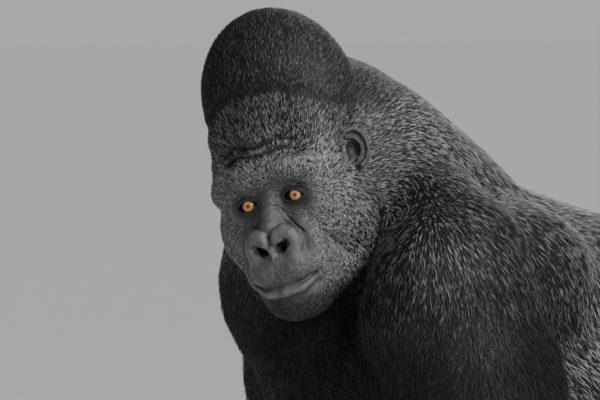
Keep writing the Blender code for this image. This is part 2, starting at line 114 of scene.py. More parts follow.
def middle(node):
    low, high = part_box(node)
    return (np.array(low) + np.array(high)) / 2


HEAD_AXES = turn_of(*HEAD_TURN)
HEAD_ORIGIN = (middle("left_eye") + middle("right_eye")) / 2 - HEAD_AXES @ (0, EYE_DEPTH, 0)
WRIST = {"left": HEAD_ORIGIN + (0.195, 0.09, 0), "right": HEAD_ORIGIN + (-0.385, 0.27, 0)}
FOOT = {"left": HEAD_ORIGIN + (0.105, 0.77, 0), "right": HEAD_ORIGIN + (-0.305, 0.855, 0)}


def in_head(points):
    """Points of the row frame, in the head's own frame: X to its left, Y backward, Z up."""
    return (points - HEAD_ORIGIN) @ HEAD_AXES


def from_head(points):
    return points @ HEAD_AXES.T + HEAD_ORIGIN


# ---- distance fields ----
def ellipsoid(points, centre, radii):
    q = (points - centre) / radii
    reach = norm(q)
    slope = norm(q / radii) + 1e-6
    return reach * (reach - 1) / slope


def tube(points, path):
    """Distance to a rod through stations of (x, y, z, radius)."""
    gaps = []
    for (*a, start), (*b, end) in zip(path, path[1:]):
        axis = np.subtract(b, a)
        t = np.clip(((points - a) @ axis) / (axis @ axis), 0, 1)
        gaps.append(norm(points - a - t[:, None] * axis) - (start + t * (end - start)))
    return np.minimum.reduce(gaps)


def joined(a, b, k):
    h = np.clip(0.5 + 0.5 * (b - a) / k, 0, 1)
    return b + (a - b) * h - k * h * (1 - h)


def carved(a, b, k):
    return -joined(-a, b, k)


def with_rods(points, f, *rods):
    for path, k in rods:
        f = joined(f, tube(points, path), k)
    return f


def with_lumps(points, f, lumps):
    for centre, radii, k in lumps:
        f = joined(f, ellipsoid(points, centre, radii), k)
    return f


def groove(points, path, width, depth):
    """How far a soft crease along the path sinks. Depth along Y counts for less than width."""
    flat = np.array((1, 0.4, 1))
    return depth * bell(tube(points * flat, [(*p, 0.0) for p in np.array(path) * flat]), width)


def creased(points, f, creases):
    for crease in creases:
        f = f + groove(points, *crease)
    return f


def mirrored(points):
    folded = points.copy()
    folded[:, 0] = np.sqrt(points[:, 0] ** 2 + 0.0012**2)
    return folded


def skull_field(m):
    f = ellipsoid(m, (0, 0.101, 0.119), (0.117, 0.101, 0.134))
    lumps = (
        ((0, 0.17, 0.085), (0.1, 0.086, 0.104), 0.016),
        ((0, 0.085, 0.05), (0.092, 0.105, 0.09), 0.016),
        ((0, 0.07, 0.082), (0.086, 0.068, 0.064), 0.016),
        ((0, 0.075, -0.11), (0.08, 0.08, 0.06), 0.016),
        ((0.054, 0.064, 0.085), (0.052, 0.06, 0.064), 0.016),
        ((0.068, 0.046, 0.026), (0.04, 0.053, 0.062), 0.016),
        ((0.069, 0.056, -0.04), (0.055, 0.062, 0.07), 0.016),
    )
    jaw = (0.022, 0.0, -0.132, 0.031), (0.064, 0.072, -0.088, 0.05)
    return with_rods(m, with_lumps(m, f, lumps), (jaw, 0.016))


def mask_field(m):
    """Brow bar, sockets, cheekbones and muzzle."""
    brow = [
        (0, -0.002, 0.037, 0.0185), (0.03, -0.003, 0.038, 0.0205), (0.058, 0.006, 0.035, 0.0215),
        (0.084, 0.027, 0.02, 0.021),
    ]
    lumps = (
        ((0.042, 0.026, -0.002), (0.042, 0.032, 0.034), 0.01),
        ((0.052, 0.03, -0.034), (0.046, 0.038, 0.036), 0.012),
        ((0.036, 0.008, -0.09), (0.034, 0.038, 0.036), 0.012),
        ((0, 0.016, -0.045), (0.06, 0.037, 0.056), 0.01),
        ((0, -0.006, -0.087), (0.056, 0.045, 0.027), 0.008),
        ((0, 0.0, -0.138), (0.047, 0.04, 0.031), 0.01),
    )
    return with_lumps(m, tube(m, brow), lumps)


def lips_field(m, f):
    upper = [(0, -0.037, -0.1, 0.011), (0.026, -0.03, -0.098, 0.0105), (0.047, -0.01, -0.094, 0.007)]
    lower = [
        (0, -0.0395, -0.1195, 0.0082), (0.026, -0.034, -0.118, 0.0078), (0.042, -0.0215, -0.1095, 0.006),
        (0.052, -0.008, -0.1005, 0.004),
    ]
    f = with_rods(m, f, (upper, 0.014), (lower, 0.0045))
    end = (0.052, -0.016, -0.0985)
    line = [(0, -0.05, -0.1125), (0.018, -0.0455, -0.1125), (0.035, -0.034, -0.1085), end]
    below = [(0, -0.044, -0.129), (0.026, -0.036, -0.126), (0.044, -0.018, -0.116)]
    philtrum = [(0, -0.05, -0.076), (0, -0.051, -0.1)]
    corner = [end, (0.057, -0.006, -0.0965)]
    creases = (line, 0.0021, 0.0052), (below, 0.004, 0.0014), (philtrum, 0.0024, 0.0014)
    return creased(m, f, (*creases, (corner, 0.003, 0.003)))


def nose_field(m, f):
    """Heart of two thick rims curled round the slanting nostrils."""
    bridge = [(0, -0.001, 0.012, 0.0105), (0, -0.012, -0.008, 0.0115), (0, -0.023, -0.03, 0.015)]
    puff = [(0.036, -0.004, -0.04, 0.015), (0.043, -0.005, -0.062, 0.019), (0.041, -0.008, -0.084, 0.019)]
    f = with_rods(m, f, (bridge, 0.01), (puff, 0.008))
    rim = [
        (0.0085, -0.0385, -0.05, 0.008), (0.0125, -0.0355, -0.042, 0.0095),
        (0.021, -0.0325, -0.04, 0.0108), (0.0285, -0.032, -0.0455, 0.0112),
        (0.0316, -0.0315, -0.057, 0.0116), (0.0304, -0.0325, -0.069, 0.0112),
        (0.0265, -0.035, -0.079, 0.01), (0.02, -0.039, -0.088, 0.0085),
    ]
    nose = joined(tube(m, rim), ellipsoid(m, (0.017, -0.028, -0.058), (0.022, 0.016, 0.024)), 0.006)
    septum = (0, -0.0405, -0.056, 0.0058), (0, -0.042, -0.069, 0.0052)
    sill = [(0.026, -0.035, -0.077, 0.008), (0.013, -0.04, -0.077, 0.0065), (0, -0.041, -0.073, 0.006)]
    nose = with_rods(m, nose, (septum, 0.003), (sill, 0.004))
    nose = nose + groove(m, [(0, -0.04, -0.03), (0, -0.048, -0.044), (0, -0.049, -0.052)], 0.0035, 0.004)
    f = joined(f, nose, 0.0035 + 0.01 * ease(-0.066, -0.082, m[:, 2]))
    front, deep = (0.015, -0.046, -0.0615, 0.0068), (0.015, -0.03, -0.056, 0.007)
    hole = (0.005, -0.0485, -0.0685, 0.0046), front, (0.0245, -0.0425, -0.0545, 0.0054)
    inner = (0.008, -0.036, -0.062, 0.005), deep, (0.02, -0.033, -0.053, 0.0056)
    pit = np.minimum.reduce([tube(m, path) for path in (hole, inner, (front, deep))])
    return carved(f, pit, 0.0035)


def lid_distance(m):
    """Distance in the plane of the lids to the rim of the almond between them."""
    x, z = m[:, 0] - EYE_HALF_GAP + 0.0008, m[:, 2]
    wide, above, below = OPENING
    z = z + 0.06 * x
    gaps = []
    for high, sign in ((above, 1), (below, -1)):
        ring = (wide**2 + high**2) / (2 * high)
        gaps.append(np.hypot(x, z + sign * (ring - high)) - ring)
    return np.maximum(*gaps)


def eye_field(m, points, f):
    """Lids with their creases, and the opening between them."""
    f = joined(f, ellipsoid(m, (EYE_HALF_GAP, EYE_DEPTH, 0), (0.0215, 0.0163, 0.016)), 0.006)
    rim = lid_distance(m)
    near = ease(0.026, 0.012, np.abs(m[:, 0] - EYE_HALF_GAP)) * ease(0.022, 0.004, m[:, 1])
    ripple = 0.0005 * np.sin(points[:, 0] * 210 + 1.3) * np.sin(points[:, 2] * 170)
    below = ease(0.004, -0.006, m[:, 2])
    for count in range(3):
        at = 0.0042 + count * 0.0036 + ripple
        f = f + near * below * (0.0014 - 0.0002 * count) * bell(rim - at, 0.001)
    above = ease(0.0, 0.006, m[:, 2])
    f = f + near * above * 0.0018 * bell(rim - 0.0058, 0.0013)
    f = f + near * above * 0.0012 * bell(rim - 0.0105 - ripple, 0.0014)
    return carved(f, np.maximum(rim, m[:, 1] - 0.004), 0.0016)


def folds_field(m, points, f):
    """Creases of bridge, cheeks, muzzle and forehead."""
    wander = 0.0008 * np.sin(points[:, 2] * 150 + points[:, 0] * 90)
    m = m + np.stack([wander, wander * 0, -wander], axis=1)
    end = (0.041, -0.017, -0.046)
    nasal = [(0.008, -0.012, -0.004), (0.019, -0.016, -0.018), (0.029, -0.018, -0.032), end]
    cheek = [end, (0.05, -0.013, -0.057), (0.058, -0.008, -0.076), (0.0585, -0.006, -0.093)]
    creases = [
        (nasal, 0.0017, 0.0026),
        (cheek, 0.002, 0.0026),
        ([(0.013, -0.016, -0.02), (0.021, -0.02, -0.032)], 0.0012, 0.001),
        ([(0.047, -0.018, -0.062), (0.052, -0.013, -0.076), (0.051, -0.013, -0.09)], 0.0018, 0.0014),
        ([(0.064, 0.0, -0.058), (0.07, 0.004, -0.078), (0.069, 0.006, -0.096)], 0.0028, 0.0016),
    ]
    for drop in (0.0, 0.0075):
        bag = [(0.016, -0.013, -0.014 - drop), (0.03, -0.012, -0.024 - drop), (0.05, -0.004, -0.026 - drop)]
        creases.append((bag, 0.0016, 0.0016))
    for lift in (0.0, 0.006):
        lid = [(0.018, -0.013, 0.011 + lift), (0.036, -0.012, 0.015 + lift), (0.056, -0.002, 0.012 + lift)]
        creases.append((lid, 0.0014, 0.0013))
    creases.append(([(0.0, -0.014, 0.016), (0.012, -0.015, 0.014)], 0.003, 0.0022))
    for level, reach in ((0.0, 0.01), (-0.008, 0.009), (-0.016, 0.008)):
        creases.append(([(0, -0.02, level - 0.001), (reach, -0.02, level)], 0.0014, 0.0009))
    cap = list(zip(CAP_X, (0.003, 0.012, 0.035, 0.055, 0.075), CAP_Z))
    creases.append((cap, 0.01, 0.0038))
    f = creased(m, f, creases)
    fade = ease(0.08, 0.04, m[:, 0])
    for crease in forehead_creases():
        f = f + fade * groove(m, crease, 0.0028, 0.0028)
    return f


def forehead_creases():
    for level in (0.059, 0.07):
        yield [(0, -0.004, level), (0.034, 0.004, level + 0.004), (0.08, 0.03, level - 0.014)]


def crease_shade(local):
    """How light the hair stays where the forehead creases, most of them on its right."""
    m = mirrored(local)
    along = ease(0.06, 0.03, local[:, 0]) * ease(-0.095, -0.065, local[:, 0])
    near = np.maximum(*[groove(m, crease, 0.003, 1.0) for crease in forehead_creases()])
    return 1 - 0.75 * along * near


def hairy_gap(m):
    """Distance from the bare part of the face."""
    muzzle = ellipsoid(m, (0, -0.032, -0.07), (0.053, 0.034, 0.044))
    lower = ellipsoid(m, (0, -0.036, -0.112), (0.053, 0.032, 0.013))
    eye = ellipsoid(m, (EYE_HALF_GAP, -0.006, -0.004), (0.025, 0.026, 0.0155))
    bridge = tube(m, [(0, -0.02, -0.03, 0.016), (0, -0.012, 0.004, 0.01)])
    fold = tube(m, [(0.018, -0.014, -0.018, 0.009), (0.04, -0.014, -0.046, 0.01)])
    return joined(joined(joined(joined(muzzle, lower, 0.01), eye, 0.012), bridge, 0.008), fold, 0.008)


def hairiness(points):
    """0 on the bare face, 1 where the coat is full. Points are in the head's frame."""
    return ease(0.0, 0.04, hairy_gap(mirrored(points)))


def head_field(points):
    """Distance to the skin of the head, negative inside."""
    m = mirrored(points)
    hairy = hairiness(points)
    f = joined(skull_field(m) + 0.011 * hairy, mask_field(m) + 0.005 * hairy, 0.01)
    f = lips_field(m, f)
    f = nose_field(m, f)
    f = eye_field(m, points, f)
    return folds_field(m, points, f)


def ear_field(points):
    """An ear in its own frame, mirrored to the left: its plate spans X and Z, and its hollow faces -Y."""
    f = ellipsoid(points, (0, 0.002, 0), (0.018, 0.003, 0.0255))
    f = joined(f, ellipsoid(points, (-0.016, 0.003, -0.002), (0.015, 0.006, 0.02)), 0.004)
    helix = [
        (-0.013, -0.003, 0.0085, 0.0022), (-0.015, -0.004, 0.017, 0.0028), (-0.007, -0.005, 0.025, 0.0033),
        (0.004, -0.004, 0.0262, 0.0033), (0.0145, -0.003, 0.019, 0.0031), (0.0185, -0.002, 0.006, 0.0028),
        (0.018, -0.002, -0.007, 0.0027), (0.0125, -0.001, -0.018, 0.003), (0.004, -0.001, -0.025, 0.0046),
    ]
    inner = [
        (-0.007, -0.002, 0.0165, 0.0018), (0.003, -0.004, 0.014, 0.0026), (0.0095, -0.004, 0.004, 0.0026),
        (0.0075, -0.004, -0.008, 0.0026), (0.0, -0.004, -0.015, 0.0024),
    ]
    tragus = [(-0.012, -0.002, -0.009, 0.003), (-0.0085, -0.005, -0.004, 0.0026)]
    f = with_rods(points, f, (helix, 0.0016), (inner, 0.002), (tragus, 0.002))
    f = carved(f, ellipsoid(points, *EAR_HOLLOW), 0.002)
    gap = (-0.004, -0.006, 0.0205), (0.006, -0.006, 0.0195), (0.0125, -0.005, 0.008), (0.012, -0.005, -0.006)
    return f + groove(points, gap, 0.0022, 0.002)


def hand_field(points):
    """A left fist on its knuckles, in its own frame, from the wrist down."""
    f = ellipsoid((points - (0, -0.004, 0.114)) @ about("X", 10), (0, 0, 0), (0.053, 0.031, 0.056))
    wrist = [(0, -0.002, 0.12, 0.034), (0, 0.002, 0.166, 0.0385), (0.002, 0.015, 0.2, 0.037)]
    f = joined(f, tube(points, wrist), 0.022)
    fingers = None
    for finger in range(4):
        x = (finger - 1.5) * FINGER_GAP
        reach = 0.004 if finger in (1, 2) else 0.0
        joints = [
            (x * 0.86, -0.014, 0.094, 0.0175), (x * 0.95, -0.03 - reach, 0.052, 0.0142),
            (x, -0.045 - reach, 0.0186, 0.0178), (x, -0.024, 0.0158, 0.0146),
            (x, -0.004, 0.0155, 0.0152), (x, 0.012, 0.034, 0.013),
        ]
        one = tube(points, joints)
        for level in (0.036, 0.045, 0.054):
            front = -0.052 - reach + (level - 0.034) * 0.45
            one = one + groove(points, [(x - 0.02, front, level), (x + 0.02, front, level)], 0.0026, 0.0022)
        fingers = one if fingers is None else joined(fingers, one, 0.003)
    f = joined(f, fingers, 0.009)
    thumb = [(-0.044, 0.01, 0.122, 0.019), (-0.066, -0.012, 0.088, 0.016), (-0.064, -0.026, 0.06, 0.0138)]
    f = joined(f, tube(points, thumb), 0.008)
    return np.maximum(f, FLOOR_GAP - points[:, 2])


def toe_length(toe):
    return 0.052 - 0.006 * abs(toe - 1)


def foot_field(points):
    """A left foot in its own frame, from the ankle down."""
    f = ellipsoid(points, (0, 0.095, 0.034), (0.035, 0.044, 0.038))
    arch = ellipsoid((points - (0, 0.015, 0.038)) @ about("X", 6), (0, 0, 0), (0.044, 0.092, 0.04))
    f = joined(f, arch, 0.014)
    f = joined(f, ellipsoid(points, (0, -0.07, 0.022), (0.05, 0.048, 0.026)), 0.014)
    ankle = [(0, 0.058, 0.05, 0.038), (0, 0.059, 0.1, 0.0425), (0.002, 0.044, 0.132, 0.04)]
    f = joined(f, tube(points, ankle), 0.03)
    toes, low_slope = None, (1, 1, 0.2)
    for toe in range(4):
        x, length = (toe - 1.5) * TOE_GAP, toe_length(toe)
        joint = (x * 1.04, TOE_ROOT - length * 0.55, 0.0175, 0.0132)
        tip = (x * TOE_SPREAD, TOE_ROOT - length, 0.0118, 0.0126)
        one = tube(points, [(x, -0.095, 0.0185, 0.015), joint, tip])
        bend = TOE_ROOT - length * 0.5
        for shift in (-0.003, 0.003):
            crease = [(x - 0.02, bend + shift, 0.032), (x + 0.02, bend + shift, 0.032)]
            one = one + groove(points * low_slope, np.array(crease) * low_slope, 0.0013, 0.0009)
        toes = one if toes is None else joined(toes, one, 0.003)
    f = joined(f, toes, 0.008)
    great = [(-0.03, 0.01, 0.028, 0.023), (-0.064, -0.045, 0.018, 0.0185), (-0.078, -0.082, 0.014, 0.016)]
    f = joined(f, tube(points, great), 0.007)
    return np.maximum(f, FLOOR_GAP - points[:, 2])


# ---- surfaces from fields ----
def grid_values(field, low, high, step, coarse):
    """The field on a grid, worked out in full only near its surface."""
    count = (np.ceil((high - low) / (step * coarse)).astype(int) + 1) * coarse
    axes = [low[i] + step * np.arange(count[i]) for i in range(3)]
    rough = np.meshgrid(*[a[coarse // 2 :: coarse] for a in axes], indexing="ij")
    rough = field(np.stack([g.ravel() for g in rough], axis=1)).reshape(count // coarse)
    values = rough.repeat(coarse, 0).repeat(coarse, 1).repeat(coarse, 2)
    near = np.argwhere(np.abs(values) < step * coarse * 1.9)
    values[tuple(near.T)] = field(low + step * near)
    return values


def surface_net(values, low, step):
    """Points and quads round the zero level."""
    inside = values < 0
    size = np.array(values.shape) - 1
    total = np.zeros(size, np.int8)
    for x, y, z in np.ndindex(2, 2, 2):
        total += inside[x : x + size[0], y : y + size[1], z : z + size[2]]
    cells = np.argwhere((total > 0) & (total < 8))
    number = np.full(size, -1)
    number[tuple(cells.T)] = np.arange(len(cells))
    spot, hits, quads = np.zeros((len(cells), 3)), np.zeros(len(cells)), []
    for axis in range(3):
        u, v = (axis + 1) % 3, (axis + 2) % 3
        for i, j in np.ndindex(2, 2):
            a = cells.copy()
            a[:, (u, v)] += (i, j)
            b = a.copy()
            b[:, axis] += 1
            start, end = values[tuple(a.T)], values[tuple(b.T)]
            crossed = (start < 0) != (end < 0)
            t = np.where(crossed, start / np.where(crossed, start - end, 1), 0)
            point = a.astype(float)
            point[:, axis] += t
            spot[crossed] += point[crossed]
            hits += crossed
        first, second = [slice(None)] * 3, [slice(None)] * 3
        first[axis], second[axis] = slice(None, -1), slice(1, None)
        edges = np.argwhere(inside[tuple(first)] != inside[tuple(second)])
        edges = edges[((edges > 0) & (edges < size)).all(axis=1)]
        round_it = []
        for i, j in ((0, 0), (1, 0), (1, 1), (0, 1)):
            cell = edges.copy()
            cell[:, (u, v)] -= (i, j)
            round_it.append(number[tuple(cell.T)])
        quad = np.stack(round_it, axis=1)
        outward = inside[tuple(edges.T)]
        quads.append(np.where(outward[:, None], quad, quad[:, ::-1]))
    return low + step * spot / hits[:, None], np.concatenate(quads)


def slope_of(field, points, step=0.0004):
    slope = np.zeros_like(points)
    for axis in range(3):
        shift = np.zeros(3)
        shift[axis] = step
        slope[:, axis] = (field(points + shift) - field(points - shift)) / (2 * step)
    return slope


def settled(field, points):
    """Points moved on to the zero level."""
    for _ in range(2):
        slope = slope_of(field, points)
        reach = field(points) / np.maximum((slope**2).sum(axis=1), 0.25)
        points = points - np.clip(reach, -0.002, 0.002)[:, None] * slope
    return points


def linked(name, data):
    """A new object of the scene."""
    thing = bpy.data.objects.new(name, data)
    bpy.context.scene.collection.objects.link(thing)
    return thing


def new_object(name, points, faces):
    mesh = bpy.data.meshes.new(name)
    mesh.from_pydata([tuple(p) for p in points], [], [tuple(f) for f in faces])
    return linked(name, mesh)


def read(items, key, width, kind=float):
    flat = np.zeros(len(items) * width, kind)
    items.foreach_get(key, flat)
    return flat.reshape(-1, width)


def points_of(piece):
    return read(piece.data.vertices, "co", 3)


def edges_of(piece):
    return read(piece.data.edges, "vertices", 2, int)


def normals_of(piece):
    return read(piece.data.vertex_normals, "vector", 3)


def set_points(piece, points):
    piece.data.vertices.foreach_set("co", np.ascontiguousarray(points, float).ravel())
    piece.data.update()


def relaxed(points, edges, rounds, share=0.5):
    """Points, or any values at them, drawn towards their neighbours' mean."""
    degree = np.bincount(edges.ravel(), minlength=len(points))[:, None]
    for _ in range(rounds):
        total = np.zeros_like(points)
        for axis in range(points.shape[1]):
            total[:, axis] = np.bincount(edges[:, 0], points[edges[:, 1], axis], len(points))
            total[:, axis] += np.bincount(edges[:, 1], points[edges[:, 0], axis], len(points))
        points = points + share * (total / np.maximum(degree, 1) - points)
    return points


def applied(piece, kind, **settings):
    modifier = piece.modifiers.new(kind.title(), kind)
    for key, value in settings.items():
        setattr(modifier, key, value)
    evaluated = piece.evaluated_get(bpy.context.evaluated_depsgraph_get())
    mesh = bpy.data.meshes.new_from_object(evaluated)
    piece.modifiers.clear()
    piece.data = mesh
    return piece


def thinned(piece, chosen, ratio):
    """Fewer faces among the chosen vertices."""
    group = piece.vertex_groups.new(name="coated")
    group.add(chosen.tolist(), 1.0, "REPLACE")
    share = len(chosen) / len(piece.data.vertices)
    applied(piece, "DECIMATE", ratio=1 - share * (1 - ratio), vertex_group="coated")
    piece.vertex_groups.clear()


def divided(piece, chosen):
    """Splits the chosen faces in four."""
    work = bmesh.new()
    work.from_mesh(piece.data)
    work.faces.ensure_lookup_table()
    edges = {e for i in np.flatnonzero(chosen) for e in work.faces[i].edges}
    bmesh.ops.subdivide_edges(work, edges=list(edges), cuts=1, use_grid_fill=True)
    work.to_mesh(piece.data)
    work.free()


def smooth(piece):
    piece.data.polygons.foreach_set("use_smooth", np.ones(len(piece.data.polygons), bool))


def painted(piece, name, values):
    """A value at each vertex, which the material reads."""
    piece.data.attributes.new(name, "FLOAT", "POINT").data.foreach_set("value", values)


def meshed(field, low, high, step, coarse=2):
    low, high = np.array(low), np.array(high)
    return surface_net(grid_values(field, low, high, step, coarse), low, step)


def sided(side, points, quads):
    """The left one as it is, or its mirror image for the right side."""
    return (points, quads) if side == "left" else (points * (-1, 1, 1), quads[:, ::-1])


def gathered(nodes, swell=0.0):
    """The points and faces of those solids in one, each solid a little swollen."""
    points, faces = [], []
    for node in nodes:
        faces += [[len(points) + i for i in p.vertices] for p in node.data.polygons]
        points += (points_of(node) + swell * normals_of(node)).tolist()
    return points, faces


def head_shell():
    surface = meshed(head_field, (-0.135, -0.075, -0.19), (0.135, 0.275, 0.27), HEAD_STEP, 4)
    piece = new_object("head_shell", *surface)
    centres = read(piece.data.polygons, "center", 3)
    divided(piece, (hairiness(centres) < 0.11) & (centres[:, 1] < 0.02))
    points = points_of(piece)
    face = np.flatnonzero((hairiness(points) < 0.98) & (points[:, 1] < 0.04))
    edges = edges_of(piece)
    for _ in range(2):
        points[face] = relaxed(points, edges, 1, 0.4)[face]
        points[face] = settled(head_field, points[face])
    set_points(piece, from_head(points))
    coated = np.flatnonzero((hairiness(points) > 0.985) | (points[:, 1] > 0.045))
    thinned(piece, coated, COVERED_SHARE)
    return piece


def ear_axes(side):
    sign = SIDES[side]
    centre = np.array(EAR_CENTRE) * (sign, 1, 1)
    return HEAD_AXES @ about("Z", EAR_FLARE * sign), from_head(centre[None])[0]


def ear_shell(side):
    points, quads = meshed(ear_field, (-0.036, -0.014, -0.034), (0.027, 0.014, 0.034), EAR_STEP)
    points, quads = sided(side, settled(ear_field, points), quads)
    axes, centre = ear_axes(side)
    piece = new_object(f"{side}_ear_shell", points @ axes.T + centre, quads)
    return applied(piece, "DECIMATE", ratio=0.5)


def limb_end(side, field, origin, angle, low, high):
    """A hand or a foot, put at its place."""
    points, quads = sided(side, *meshed(field, low, high, LIMB_STEP))
    turned = about("Z", angle * SIDES[side])
    piece = new_object("limb_end", points @ turned.T + origin[side] * (1, 1, 0), quads)
    return applied(piece, "DECIMATE", ratio=COVERED_SHARE)


def coat_depth(points):
    """How far the skin of the body lies under the tips of the coat."""
    x, y, z = in_head(points).T
    on_skull = ease(0.26, 0.16, y) * ease(0.2, 0.15, np.abs(x)) * ease(-0.22, -0.14, z)
    return 0.0045 + 0.0045 * ease(0.12, 0.24, points[:, 2]) + 0.007 * on_skull


def body_shell():
    """The solids, closed over their cuts and drawn in under the coat."""
    nodes = [node for name, node in sorted(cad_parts.items()) if not name.endswith(NOT_BODY)]
    piece = new_object("body_shell", *gathered(nodes, CUT_FILL))
    applied(piece, "REMESH", mode="VOXEL", voxel_size=BODY_STEP, use_smooth_shade=True)
    edges = edges_of(piece)
    points = relaxed(points_of(piece), edges, 14)
    x, y, z = in_head(points).T
    nape = ease(0.16, 0.24, y) * ease(0.46, 0.36, y)
    nape = nape * ease(0.16, 0.08, np.abs(x)) * ease(0.0, 0.06, z)
    points += nape[:, None] * (relaxed(points, edges, 90) - points)
    set_points(piece, points)
    points = points - normals_of(piece) * coat_depth(points)[:, None]
    local = in_head(points)
    front = ease(0.1, 0.02, local[:, 1]) * (np.abs(local) < (0.16, 9, 0.26)).all(axis=1)
    face = front * ease(0.16, 0.1, norm(local - (0, 0, -0.03)))
    points = points + (face * 0.045)[:, None] * HEAD_AXES[:, 1]
    points = relaxed(points, edges, 2)
    points[:, 2] = np.maximum(points[:, 2], FLOOR_GAP)
    set_points(piece, points)
    return applied(piece, "DECIMATE", ratio=0.15)


def united(base, others):
    for other in others:
        applied(base, "BOOLEAN", operation="UNION", solver="MANIFOLD", object=other)
        bpy.data.objects.remove(other)
    return base


def made_skin():
    hand = hand_field, WRIST, -HAND_TURN, (-0.09, -0.075, -0.003), (0.08, 0.065, 0.25)
    foot = foot_field, FOOT, FOOT_TURN, (-0.11, -0.175, -0.003), (0.08, 0.15, 0.19)
    shells = [head_shell()]
    for side in SIDES:
        shells += [ear_shell(side), limb_end(side, *hand), limb_end(side, *foot)]
    skin = united(body_shell(), shells)
    skin.name = skin.data.name = "skin"
    smooth(skin)
    return skin


# ---- lie of the coat ----
# For each part: the way its hair points (outward, backward, up), its length, width, lift in degrees,
# how many layers lie over each other, how light it is, and how many in a hundred of its hairs are grey.
COAT = {
    "head": ((0, 0, 0), 0.0082, 0.0009, 30, 2.3, 0.64, 48),
    "neck": ((0.15, 0.7, -0.7), 0.01, 0.0011, 30, 2.2, 0.96, 58),
    "chest": ((0.3, 0.45, -0.9), 0.018, 0.0014, 23, 2.0, 0.3, 22),
    "belly": ((0.12, 0.85, -0.5), 0.028, 0.0019, 20, 2.1, 0.34, 24),
    "upper_arm": ((0.05, 0.25, -1.0), 0.016, 0.0013, 22, 2.1, 0.22, 20),
    "forearm": ((0.08, 0.42, -0.85), 0.034, 0.0022, 17, 2.1, 0.27, 17),
    "hand": ((0.1, 0.2, -1.0), 0.012, 0.0014, 16, 1.8, 0.25, 12),
    "thigh": ((0.1, 0.5, -0.9), 0.035, 0.0023, 18, 2.1, 0.38, 26),
    "shank": ((0.05, 0.45, -0.9), 0.032, 0.0022, 18, 2.1, 0.26, 16),
    "foot": ((0.05, -1.0, -0.3), 0.012, 0.0014, 16, 1.5, 0.25, 12),
}
LENGTH, WIDTH, LIFT, LAYERS, LIGHT, GREY = range(6)
MOST_TUFTS = 372000
COAT_SEED = 11
GROUPS = {"ear": "head", "shank": "leg", "foot": "leg", "hand": "forearm"}
ROOT_DEPTH = 0.0012
# A tuft is a root, two edges, a ridge and a tip. These are its faces, how light each point is, and where
# the points lie on the unwrap, round the place of the root.
TUFT_FACES = (0, 3, 2), (0, 1, 3), (2, 3, 4), (3, 1, 4)
TUFT_TONES = 0.25, 0.75, 0.75, 0.85, 1.15
TUFT_SPOTS = (0, -1), (-1, 0), (1, 0), (0, 0), (0, 1)
SPOT_SIZE = 0.0015


def kind_of(node):
    return node.removeprefix("left_").removeprefix("right_")


def nodes_near(points):
    """For each point, the number of the solid it belongs to, in the sorted list of their names."""
    names = sorted(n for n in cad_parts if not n.endswith("eye"))
    nodes = [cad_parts[n] for n in names]
    owner = np.repeat(np.arange(len(nodes)), [len(node.data.polygons) for node in nodes])
    tree = BVHTree.FromPolygons(*gathered(nodes))
    return names, owner[[tree.find_nearest(p)[2] for p in points.tolist()]]


